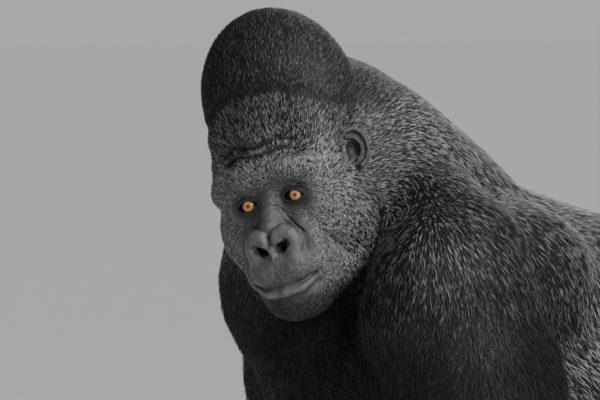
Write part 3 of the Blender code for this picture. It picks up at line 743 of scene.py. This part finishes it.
def coat_fields(skin):
    """Lie, measures, density and bareness at each vertex of the skin, with painted shade in the bareness and
    in how light the hair is.
    """
    points, normals, edges = points_of(skin), normals_of(skin), edges_of(skin)
    names, owner = nodes_near(points)
    kinds = np.array([kind_of(n) for n in names])[owner]
    local = in_head(points)
    x, y, z = points.T
    _, behind, above = local.T
    mirror = mirrored(local)
    gap = hairy_gap(mirror)
    on_head, arms = np.isin(kinds, ("head", "ear")), np.isin(kinds, ("upper_arm", "forearm"))
    trunk = ~(on_head | arms)
    lie, rest = np.zeros((len(points), 3)), np.zeros((len(points), 6))
    for kind in np.unique(kinds):
        lie[kinds == kind], *values = COAT["head" if kind == "ear" else kind]
        rest[kinds == kind] = values
    lie[:, 0] *= np.sign(x)
    away = local - np.array((0, 0.03, -0.01))
    away[:, 2] -= 0.9 * np.abs(away[:, 0]) * ease(0.02, -0.05, above)
    away[:, 1] += 0.6 * np.maximum(behind, 0)
    lie = np.where(on_head[:, None], unit(away) @ HEAD_AXES.T, lie)
    face = np.clip(1 - gap / 0.07, 0, 1) ** 1.3 * on_head
    rest[:, LENGTH] *= 1 - 0.76 * face
    rest[:, WIDTH] *= 1 - 0.5 * face
    high = ease(0.8, 1.02, z) * np.isin(kinds, ("chest", "upper_arm"))
    rest[:, LIGHT] += 0.34 * high
    rest[:, GREY] += 24 * high
    # Painted shade under the chin: the throat's hair darker.
    throat = ease(1.02, 0.9, z) * ease(-0.3, -0.4, y) * trunk
    rest[:, LIGHT] *= 1 - 0.72 * throat
    brows = ease(0.09, 0.03, gap) * on_head
    rest[:, LIGHT] += 0.26 * brows
    rest[:, GREY] += 14 * brows
    back = ease(-0.36, -0.18, y) * ease(0.4, 0.3, y)
    saddle = back * ease(0.55, 0.72, z) * trunk
    rest[:, LIGHT] += (0.7 - rest[:, LIGHT]) * saddle
    rest[:, GREY] += (60 - rest[:, GREY]) * saddle
    lie = relaxed(unit(lie), edges, 36)
    lie = unit(lie - (lie * normals).sum(axis=1)[:, None] * normals)
    rest = np.where(on_head[:, None], relaxed(rest, edges, 12), relaxed(rest, edges, 30))
    hairline = above - np.interp(mirror[:, 0], CAP_X, CAP_Z)
    crown = ease(-0.006, 0.012, hairline) * ease(0.28, 0.1, behind)
    # Painted shade in the hair along the groove at the edge of the cap.
    line = bell(hairline, 0.0065) * ease(0.14, 0.08, behind)
    chin = ease(-0.105, -0.14, above) * on_head
    rest[:, LIGHT] *= (1 - 0.36 * crown) * (1 - 0.45 * line * on_head) * (1 - 0.5 * chin)
    covered = limb_cover(points, normals, edges, kinds)
    ears = list(in_ears(points))
    ear_gap = np.abs(np.minimum(*[ear_field(p) for p in ears]))
    density = np.where(on_head, ease(-0.003, 0.012, gap), 1.0)
    density = np.maximum(density, 0.13 * stubble(mirror) * on_head)
    density = density * ease(0.0008, 0.0035, ear_gap) * covered
    # Painted shade: the ear's hollow darker than its rim.
    rim = ease(0.001, 0.0045, np.minimum(*[ellipsoid(p, *EAR_HOLLOW) for p in ears]))
    bare_tone_and_shade = np.where(on_head, 1 - ease(0.004, 0.018, gap), 0.0) * paleness_and_shade(local)
    bare_tone_and_shade = np.where(ear_gap < 0.004, 0.1 + 0.32 * rim, bare_tone_and_shade) + 0.3 * (1 - covered)
    fields = {"root": points, "normal": normals, "lie": lie, "rest": rest, "density": density, "owner": owner}
    return fields | {"bare": bare_tone_and_shade, "names": names}


def stubble(mirror):
    """Where short hair grows on the bare lips and chin."""
    nose = ellipsoid(mirror, (0, -0.035, -0.056), (0.047, 0.03, 0.031))
    lips = [(0, -0.045, -0.116, 0.0115), (0.03, -0.036, -0.114, 0.0105), (0.054, -0.01, -0.099, 0.005)]
    near = np.minimum(nose, tube(mirror, lips))
    return ease(0.0, 0.006, near) * ease(-0.055, -0.075, mirror[:, 2])


def limb_cover(points, normals, edges, kinds):
    """0 on the bare palms, soles, fingers and toes, and 1 where hair covers the limb."""
    height = points[:, 2] + 0.008 * waves(points, 3)[:, 0]
    palms = ease(-0.55, -0.15, normals[:, 2] + ease(0.08, 0.15, height))
    knuckles, toes = ease(0.055, 0.105, height), ease(0.03, 0.058, height)
    covered = np.where(kinds == "hand", palms * knuckles, np.where(kinds == "foot", palms * toes, 1.0))
    return relaxed(covered[:, None], edges, 3)[:, 0]


def paleness_and_shade(local):
    """How light the bare skin is: painted shade round the eyes, as in deep sockets, and in the nostrils;
    lighter on the nose and on the lower lip than at the mouth line.
    """
    m = mirrored(local)
    eye = np.hypot(m[:, 0] - EYE_HALF_GAP, 1.25 * (m[:, 2] - 0.002))
    nose = ease(0.012, -0.004, ellipsoid(m, (0, -0.035, -0.058), (0.046, 0.024, 0.03)))
    crescent = [(0, -0.046, -0.12, 0.004), (0.026, -0.04, -0.1185, 0.0035), (0.05, -0.014, -0.102, 0.0015)]
    lip = ease(0.006, 0.001, tube(m, crescent))
    pale = 0.5 + 0.32 * nose + 0.42 * lip
    # Painted shade round the eyes, as in deep sockets.
    pale = pale * (0.16 + 0.84 * ease(0.014, 0.032, eye))
    # Painted shade in the nostrils.
    nostril = tube(m, [(0.0145, -0.036, -0.06, 0.004), (0.0145, -0.02, -0.06, 0.004)])
    return pale * (1 - 0.9 * ease(0.01, 0.0, nostril))


def in_ears(points):
    """The points in the left ear's own frame, and the right one's, mirrored."""
    for side, sign in SIDES.items():
        axes, centre = ear_axes(side)
        yield ((points - centre) @ axes) * (sign, 1, 1)


def sampled(skin, fields, rng):
    """Roots of the tufts, with what the skin says there."""
    skin.data.calc_loop_triangles()
    corners = read(skin.data.loop_triangles, "vertices", 3, int)
    a, b, c = (fields["root"][corners[:, i]] for i in range(3))
    area = norm(np.cross(b - a, c - a)) / 2
    rest = fields["rest"]
    density = rest[:, LAYERS] / (0.45 * rest[:, LENGTH] * rest[:, WIDTH]) * fields["density"]
    expected = area * density[corners].mean(axis=1)
    expected *= min(1, MOST_TUFTS / expected.sum())
    face = np.repeat(np.arange(len(corners)), rng.poisson(expected))
    weights = rng.dirichlet((1, 1, 1), len(face))
    tufts = {"owner": fields["owner"][corners[face, 0]]}
    for key in ("root", "normal", "lie", "rest"):
        tufts[key] = (fields[key][corners[face]] * weights[:, :, None]).sum(axis=1)
    return tufts | {k: unit(tufts[k]) for k in ("normal", "lie")}


def waves(points, seed):
    """Slow, smooth noise in three directions, from -1 to 1."""
    rng = np.random.default_rng(seed)
    total = np.zeros_like(points)
    for scale, strength in ((0.06, 0.5), (0.028, 0.3), (0.013, 0.2)):
        for axis in range(3):
            for _ in range(3):
                way = rng.normal(size=3) / scale
                total[:, axis] += strength / 1.7 * np.sin(points @ way + rng.uniform(0, 6.28))
    return total


def tuft_places(tufts, rng):
    """The five points of each tuft, with a normal and a tone for each."""
    root, normal, lie, rest = (tufts[k] for k in ("root", "normal", "lie", "rest"))
    count = len(root)
    drift = 0.34 * waves(root, 5) + rng.normal(0, 0.13, (count, 3))
    way = lie + drift
    way = unit(way - (way * normal).sum(axis=1)[:, None] * normal)
    side = np.cross(normal, way)
    length = rest[:, LENGTH] * rng.uniform(0.65, 1.25, count)
    width = rest[:, WIDTH] * rng.uniform(0.6, 1.2, count)
    lift = np.radians(rest[:, LIFT] * rng.uniform(0.35, 1.5, count))[:, None]
    first = way * np.cos(lift) + normal * np.sin(lift)
    last = way * np.cos(lift * 0.35) + normal * np.sin(lift * 0.35)
    last = unit(last + np.array((0, 0, -1)) * np.clip(length - 0.022, 0, 0.03)[:, None] * 9)
    middle_point = root + first * (length * 0.42)[:, None]
    tip = middle_point + last * (length * 0.58)[:, None]
    root = root - normal * ROOT_DEPTH
    half = side * (width / 2)[:, None]
    ridge = middle_point + normal * (width * 0.3)[:, None]
    places = np.stack([root, middle_point - half, middle_point + half, ridge, tip], axis=1)
    across = 0.55 * side
    shades = [normal, normal - across, normal + across, normal, normal]
    normals = np.stack([unit(n) for n in shades], axis=1)
    grey = rng.uniform(0, 100, count) < rest[:, GREY]
    tone = np.where(grey, rng.uniform(0.45, 1.0, count), rng.uniform(0.0, 0.2, count)) * rest[:, LIGHT]
    tone = tone * crease_shade(in_head(tufts["root"]))
    return places, normals, tone[:, None] * np.array(TUFT_TONES)


def chart_places(tufts):
    """Where each root lies on the skin's unwrap: the six sides of each part, packed in rows."""
    axis = np.abs(tufts["normal"]).argmax(axis=1)
    faces_up = tufts["normal"][np.arange(len(axis)), axis] > 0
    chart = tufts["owner"] * 6 + axis * 2 + faces_up
    flat = np.zeros((len(axis), 2))
    for number, keep in enumerate(((1, 2), (0, 2), (0, 1))):
        here = axis == number
        flat[here] = tufts["root"][here][:, keep]
    charts = []
    for number in np.unique(chart):
        here = np.flatnonzero(chart == number)
        low = flat[here].min(axis=0)
        flat[here] -= low
        charts.append((*flat[here].max(axis=0), here))
    charts.sort(key=lambda c: -c[1])
    scale, placed, edge, gap = 0.6, None, 0.004, 0.006
    while placed is None:
        scale *= 0.96
        placed, x, y, row = [], edge, edge, 0.0
        for wide, high, here in charts:
            if x + wide * scale > 1 - edge:
                x, y, row = edge, y + row + gap, 0.0
            if y + high * scale > 1 - edge:
                placed = None
                break
            placed.append((here, x, y))
            x, row = x + wide * scale + gap, max(row, high * scale)
    result = flat * scale
    for here, x, y in placed:
        result[here] += (x, y)
    return result


def coat_piece(name, places, normals, tones, patches, material):
    count, corners = places.shape[:2]
    faces = (np.arange(count)[:, None, None] * corners + np.array(TUFT_FACES)).reshape(-1, 3)
    mesh = bpy.data.meshes.new(name)
    mesh.vertices.add(count * corners)
    mesh.vertices.foreach_set("co", places.ravel())
    mesh.loops.add(len(faces) * 3)
    mesh.loops.foreach_set("vertex_index", faces.ravel())
    mesh.polygons.add(len(faces))
    mesh.polygons.foreach_set("loop_start", np.arange(len(faces)) * 3)
    piece = linked(name, mesh)
    smooth(piece)
    mesh.update(calc_edges=True)
    painted(piece, "tone", tones.ravel())
    spots = (patches[:, None, :] + np.array(TUFT_SPOTS) * SPOT_SIZE).reshape(-1, 2)
    layer = mesh.uv_layers.new(name="OFBake")
    layer.uv.foreach_set("vector", spots[faces.ravel()].ravel())
    mesh.normals_split_custom_set_from_vertices(normals.reshape(-1, 3).tolist())
    mesh.materials.append(material)
    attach(piece, "root")
    return piece


def made_coat(skin, fields, material):
    rng = np.random.default_rng(COAT_SEED)
    tufts = sampled(skin, fields, rng)
    places, normals, tones = tuft_places(tufts, rng)
    patches = chart_places(tufts)
    groups = [GROUPS.get(kind, kind) for kind in map(kind_of, fields["names"])]
    for group in dict.fromkeys(groups):
        chosen = np.flatnonzero(np.array(groups)[tufts["owner"]] == group)
        for part, here in enumerate(np.array_split(chosen, len(chosen) // TUFTS_PER_PIECE + 1)):
            name = f"coat_{group}_{part + 1}"
            piece = coat_piece(name, places[here], normals[here], tones[here], patches[here], material)


# ---- materials ----
def new_material(name):
    material = bpy.data.materials.new(name)
    material.use_nodes = True
    return material, material.node_tree, material.node_tree.nodes["Principled BSDF"]


def fed(tree, node, inputs):
    """Sets the inputs of a node, or links them where the value is an output of another node."""
    for key, value in inputs.items():
        if isinstance(value, bpy.types.NodeSocket):
            tree.links.new(value, node.inputs[key])
        else:
            node.inputs[key].default_value = value


def output(tree, kind, name, inputs, **settings):
    """That output of a new node."""
    node = tree.nodes.new("ShaderNode" + kind)
    for key, value in settings.items():
        setattr(node, key, value)
    fed(tree, node, inputs)
    return node.outputs[name]


def attribute(tree, name):
    return output(tree, "Attribute", "Fac", {}, attribute_name=name)


def ramp(tree, place, stops):
    node = tree.nodes.new("ShaderNodeValToRGB")
    elements = node.color_ramp.elements
    while len(elements) < len(stops):
        elements.new(0.5)
    for element, (position, colour) in zip(elements, stops):
        element.position = position
        element.color = (*colour, 1)
    fed(tree, node, {"Fac": place})
    return node.outputs["Color"]


def plain_material(name, colour, roughness):
    material, tree, shader = new_material(name)
    fed(tree, shader, {"Base Color": (*colour, 1), "Roughness": roughness})
    return material


def coat_material():
    material, tree, shader = new_material("coat")
    stops = [(0.0, (0.006, 0.006, 0.0062)), (0.25, (0.03, 0.03, 0.031)), (1.0, (0.62, 0.62, 0.63))]
    tones = ramp(tree, attribute(tree, "tone"), stops)
    fed(tree, shader, {"Base Color": tones, "Roughness": 0.58, "Specular IOR Level": 0.22})
    return material


def skin_material():
    """Bare on the face, dark under the coat. The attribute 'bare' says which, and carries painted shade round
    the eyes, in the nostrils and in the ears' hollows.
    """
    material, tree, shader = new_material("skin")
    place = output(tree, "TexCoord", "Object", {})
    mottle = output(tree, "TexNoise", "Fac", {"Scale": 60, "Detail": 5, "Vector": place})
    shades = ramp(tree, mottle, [(0.3, (0.06, 0.06, 0.061)), (0.7, (0.15, 0.149, 0.148))])
    colours = {"A": (0.01, 0.01, 0.0105, 1), "B": shades, "Factor": attribute(tree, "bare")}
    colour = output(tree, "Mix", "Result", colours, data_type="RGBA")
    pores = {"Scale": 420, "Vector": place}
    pores = output(tree, "TexVoronoi", "Distance", pores, feature="DISTANCE_TO_EDGE")
    fine = output(tree, "TexNoise", "Fac", {"Scale": 380, "Detail": 4, "Vector": place})
    grain = output(tree, "Math", "Value", {0: pores, 1: fine}, operation="ADD")
    bump = output(tree, "Bump", "Normal", {"Strength": 0.7, "Distance": 0.0012, "Height": grain})
    fed(tree, shader, {"Base Color": colour, "Normal": bump, "Roughness": 0.42, "Specular IOR Level": 0.45})
    return material


def eye_material():
    """Rings round the line of sight. The attribute 'ring' is the angle from it, stretched on the upper side
    for painted shade under the upper lid, and 'turn' goes round it.
    """
    material, tree, shader = new_material("eye")
    stops = [
        (0.0, (0.002, 0.002, 0.002)), (0.105, (0.002, 0.002, 0.002)), (0.13, (0.2, 0.085, 0.038)),
        (0.34, (0.52, 0.29, 0.15)), (0.5, (0.46, 0.21, 0.085)), (0.63, (0.15, 0.056, 0.022)),
        (0.7, (0.018, 0.009, 0.006)), (1.0, (0.012, 0.008, 0.007)),
    ]
    ring = attribute(tree, "ring")
    spokes = output(tree, "CombineXYZ", "Vector", {"X": attribute(tree, "turn"), "Y": ring})
    spokes = output(tree, "VectorMath", "Vector", {0: spokes, 1: (14, 3, 1)}, operation="MULTIPLY")
    streaks = output(tree, "TexNoise", "Fac", {"Scale": 1.0, "Detail": 4, "Vector": spokes})
    shift = output(tree, "Math", "Value", {0: streaks, 1: 0.18, 2: ring}, operation="MULTIPLY_ADD")
    shift = output(tree, "Math", "Value", {0: shift, 1: 0.09}, operation="SUBTRACT")
    gloss = {"Roughness": 0.55, "Specular IOR Level": 0.2, "Coat Weight": 1.0, "Coat Roughness": 0.02}
    fed(tree, shader, {"Base Color": ramp(tree, shift, stops)} | gloss)
    return material


# ---- eyes ----
def ring_faces(rows, columns):
    """Quads between neighbouring rings of points."""
    rings = np.arange((rows + 1) * columns).reshape(rows + 1, columns).tolist()
    quads = []
    for near, far in zip(rings, rings[1:]):
        quads += zip(near, near[1:] + near[:1], far[1:] + far[:1], far)
    return quads


def made_eye(side, material):
    """An eyeball with its cornea, built round the line of sight."""
    sign = SIDES[side]
    back, _, _ = camera_axes()
    ahead = -HEAD_AXES[:, 1]
    sight = Vector(ahead * 0.62 + back * 0.38).normalized()
    turned = np.array(sight.to_track_quat("Z", "Y").to_matrix())
    rings, around = 60, 64
    angle = np.linspace(0, math.pi, rings + 1)[1:-1]
    turn = np.arange(around) / around * 2 * math.pi
    a, t = (g.ravel() for g in np.meshgrid(angle, turn, indexing="ij"))
    a, t = np.append(a, (0, math.pi)), np.append(t, (0, 0))
    bulge = 0.0011 * ease(0.74, 0.15, a)
    reach = EYE_RADIUS - 0.0004 + bulge
    points = np.stack([np.sin(a) * np.cos(t), np.sin(a) * np.sin(t), np.cos(a)], axis=1) * reach[:, None]
    faces = [(a, d, c, b) for a, b, c, d in ring_faces(rings - 2, around)]
    last = (rings - 2) * around
    top, bottom = len(points) - 2, len(points) - 1
    faces += [(top, k, (k + 1) % around) for k in range(around)]
    faces += [(bottom, last + (k + 1) % around, last + k) for k in range(around)]
    centre = from_head(np.array([[EYE_HALF_GAP * sign, EYE_DEPTH, 0]]))[0]
    piece = new_object(f"{side}_eyeball", points @ turned.T + centre, faces)
    smooth(piece)
    # Painted shade: the iris darker on its upper side, as under the upper lid.
    shade = 0.2 * np.sin(t) * ease(0.15, 0.55, a)  # darker under the upper lid
    painted(piece, "ring", a * (1 + shade))
    painted(piece, "turn", np.cos(t) * 0.5)
    piece.data.materials.append(material)
    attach(piece, "root")
    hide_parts(f"{side}_eye")


# ---- nails ----
def nail(centre, way, outward, wide, long):
    """A thin, bowed plate: points and faces. way runs along the toe, outward away from it."""
    way, outward = unit(np.array([way]))[0], unit(np.array([outward]))[0]
    outward = outward - way * (way @ outward)
    outward = unit(outward[None])[0]
    across = np.cross(way, outward)
    points, rows, columns = [], 6, 10
    for r in range(rows + 1):
        for k in range(columns):
            a, b = math.pi * r / rows - math.pi / 2, 2 * math.pi * k / columns
            x, y, z = math.cos(a) * math.cos(b) * wide, math.cos(a) * math.sin(b) * long, math.sin(a) * 0.0022
            z -= 0.5 * x * x / wide * 0.9
            points.append(centre + across * x + way * y + outward * z)
    return points, ring_faces(rows, columns)


def made_nails():
    """Toenails, and the nails of the folded fingers and the thumbs."""
    points, faces = [], []

    def put(origin, angle, centre, way, outward, wide, long):
        turned = about("Z", angle)
        place = turned @ np.array(centre) + origin * (1, 1, 0)
        new_points, new_faces = nail(place, turned @ np.array(way), turned @ np.array(outward), wide, long)
        faces.extend([tuple(i + len(points) for i in f) for f in new_faces])
        points.extend(new_points)

    for side, sign in SIDES.items():
        foot, hand = (FOOT[side], FOOT_TURN * sign), (WRIST[side], -HAND_TURN * sign)
        for toe in range(4):
            x, y = (toe - 1.5) * TOE_GAP * sign * TOE_SPREAD, TOE_ROOT - toe_length(toe)
            put(*foot, (x, y - 0.0062, 0.0205), (0, -1, -0.55), (0, -0.5, 1), 0.0068, 0.0075)
        put(*foot, (-0.08 * sign, -0.088, 0.0268), (-0.35 * sign, -1, -0.4), (0, -0.4, 1), 0.0085, 0.009)
        for finger in range(4):
            x = (finger - 1.5) * FINGER_GAP
            put(*hand, (x, 0.0225, 0.029), (0, 0.63, 0.77), (0, 0.77, -0.63), 0.0062, 0.0072)
        thumb = (-0.069 * sign, -0.0365, 0.061), (0, -0.45, -0.9), (-0.4 * sign, -0.8, 0.3)
        put(*hand, *thumb, 0.006, 0.0075)
    piece = new_object("nails", points, faces)
    smooth(piece)
    piece.data.materials.append(plain_material("nail", (0.02, 0.019, 0.018), 0.32))
    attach(piece, "root")


# ---- stage ----
def made_stage():
    r = FLOOR_REACH
    floor = new_object("floor", [(-r, -r, 0), (r, -r, 0), (r, r, 0), (-r, r, 0)], [(0, 1, 2, 3)])
    floor.data.materials.append(plain_material("pale_floor", (0.76, 0.76, 0.755), 0.9))
    world = bpy.data.worlds.new("studio")
    bpy.context.scene.world = world
    world.use_nodes = True
    tree, low, high = world.node_tree, (0.478, 0.478, 0.483), (0.2, 0.2, 0.205)
    height = output(tree, "SeparateXYZ", "Z", {"Vector": output(tree, "TexCoord", "Generated", {})})
    sky = ramp(tree, height, [(0.0, low), (0.1, low), (0.45, high)])
    fed(tree, tree.nodes["Background"], {"Color": sky})


def camera_axes():
    a, e = math.radians(CAMERA_AZIMUTH), math.radians(CAMERA_ELEVATION)
    back = np.array((math.sin(a) * math.cos(e), -math.cos(a) * math.cos(e), math.sin(e)))
    right = np.array((math.cos(a), math.sin(a), 0))
    return back, right, np.cross(back, right)


def seen(offset):
    """An offset of (right, up, back) as the camera sees it, in the row frame."""
    back, right, up = camera_axes()
    return offset[0] * right + offset[1] * up + offset[2] * back


def aimed(name, data, place, way):
    """A camera or a light that looks that way."""
    thing = linked(name, data)
    thing.location = place
    thing.rotation_mode = "QUATERNION"
    thing.rotation_quaternion = Vector(way).to_track_quat("-Z", "Y")
    return thing


def made_camera():
    back, right, up = camera_axes()
    aim = HEAD_ORIGIN + METRES_PER_PIXEL * (27.6 * right + 0.2 * up)
    camera = aimed("camera", bpy.data.cameras.new("camera"), aim + back * CAMERA_DISTANCE, -back)
    camera.data.sensor_width = SENSOR
    camera.data.lens = SENSOR * CAMERA_DISTANCE / (FRAME_WIDTH * METRES_PER_PIXEL)
    bpy.context.scene.camera = camera


def sun(offset, spread, power):
    """Wide soft light on the animal and the floor, from that side of the camera."""
    light = aimed("sun", bpy.data.lights.new("sun", "SUN"), (0, 0, 0), -seen(offset)).data
    light.angle = math.radians(spread)
    light.energy = power


def lit(name, offset, size, power):
    """A softbox that faces the head."""
    way = seen(offset)
    light = aimed(name, bpy.data.lights.new(name, "AREA"), HEAD_ORIGIN + way, -way).data
    light.shape = "SQUARE"
    light.size = size
    light.energy = power


made_camera()
made_stage()
sun((0.95, 1.15, 1.0), 26, 1.9)
lit("key", (1.5, 1.15, 2.4), 1.1, 72)
lit("rim", (1.0, 1.9, -2.2), 1.2, 32)

skin = made_skin()
skin.data.materials.clear()
skin.data.materials.append(skin_material())
skin.data.polygons.foreach_set("material_index", np.zeros(len(skin.data.polygons), int))
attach(skin, "root")
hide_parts(*[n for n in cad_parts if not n.endswith("eye")])
amber = eye_material()
for side in SIDES:
    made_eye(side, amber)
fields = coat_fields(skin)
painted(skin, "bare", fields["bare"])
made_nails()
made_coat(skin, fields, coat_material())
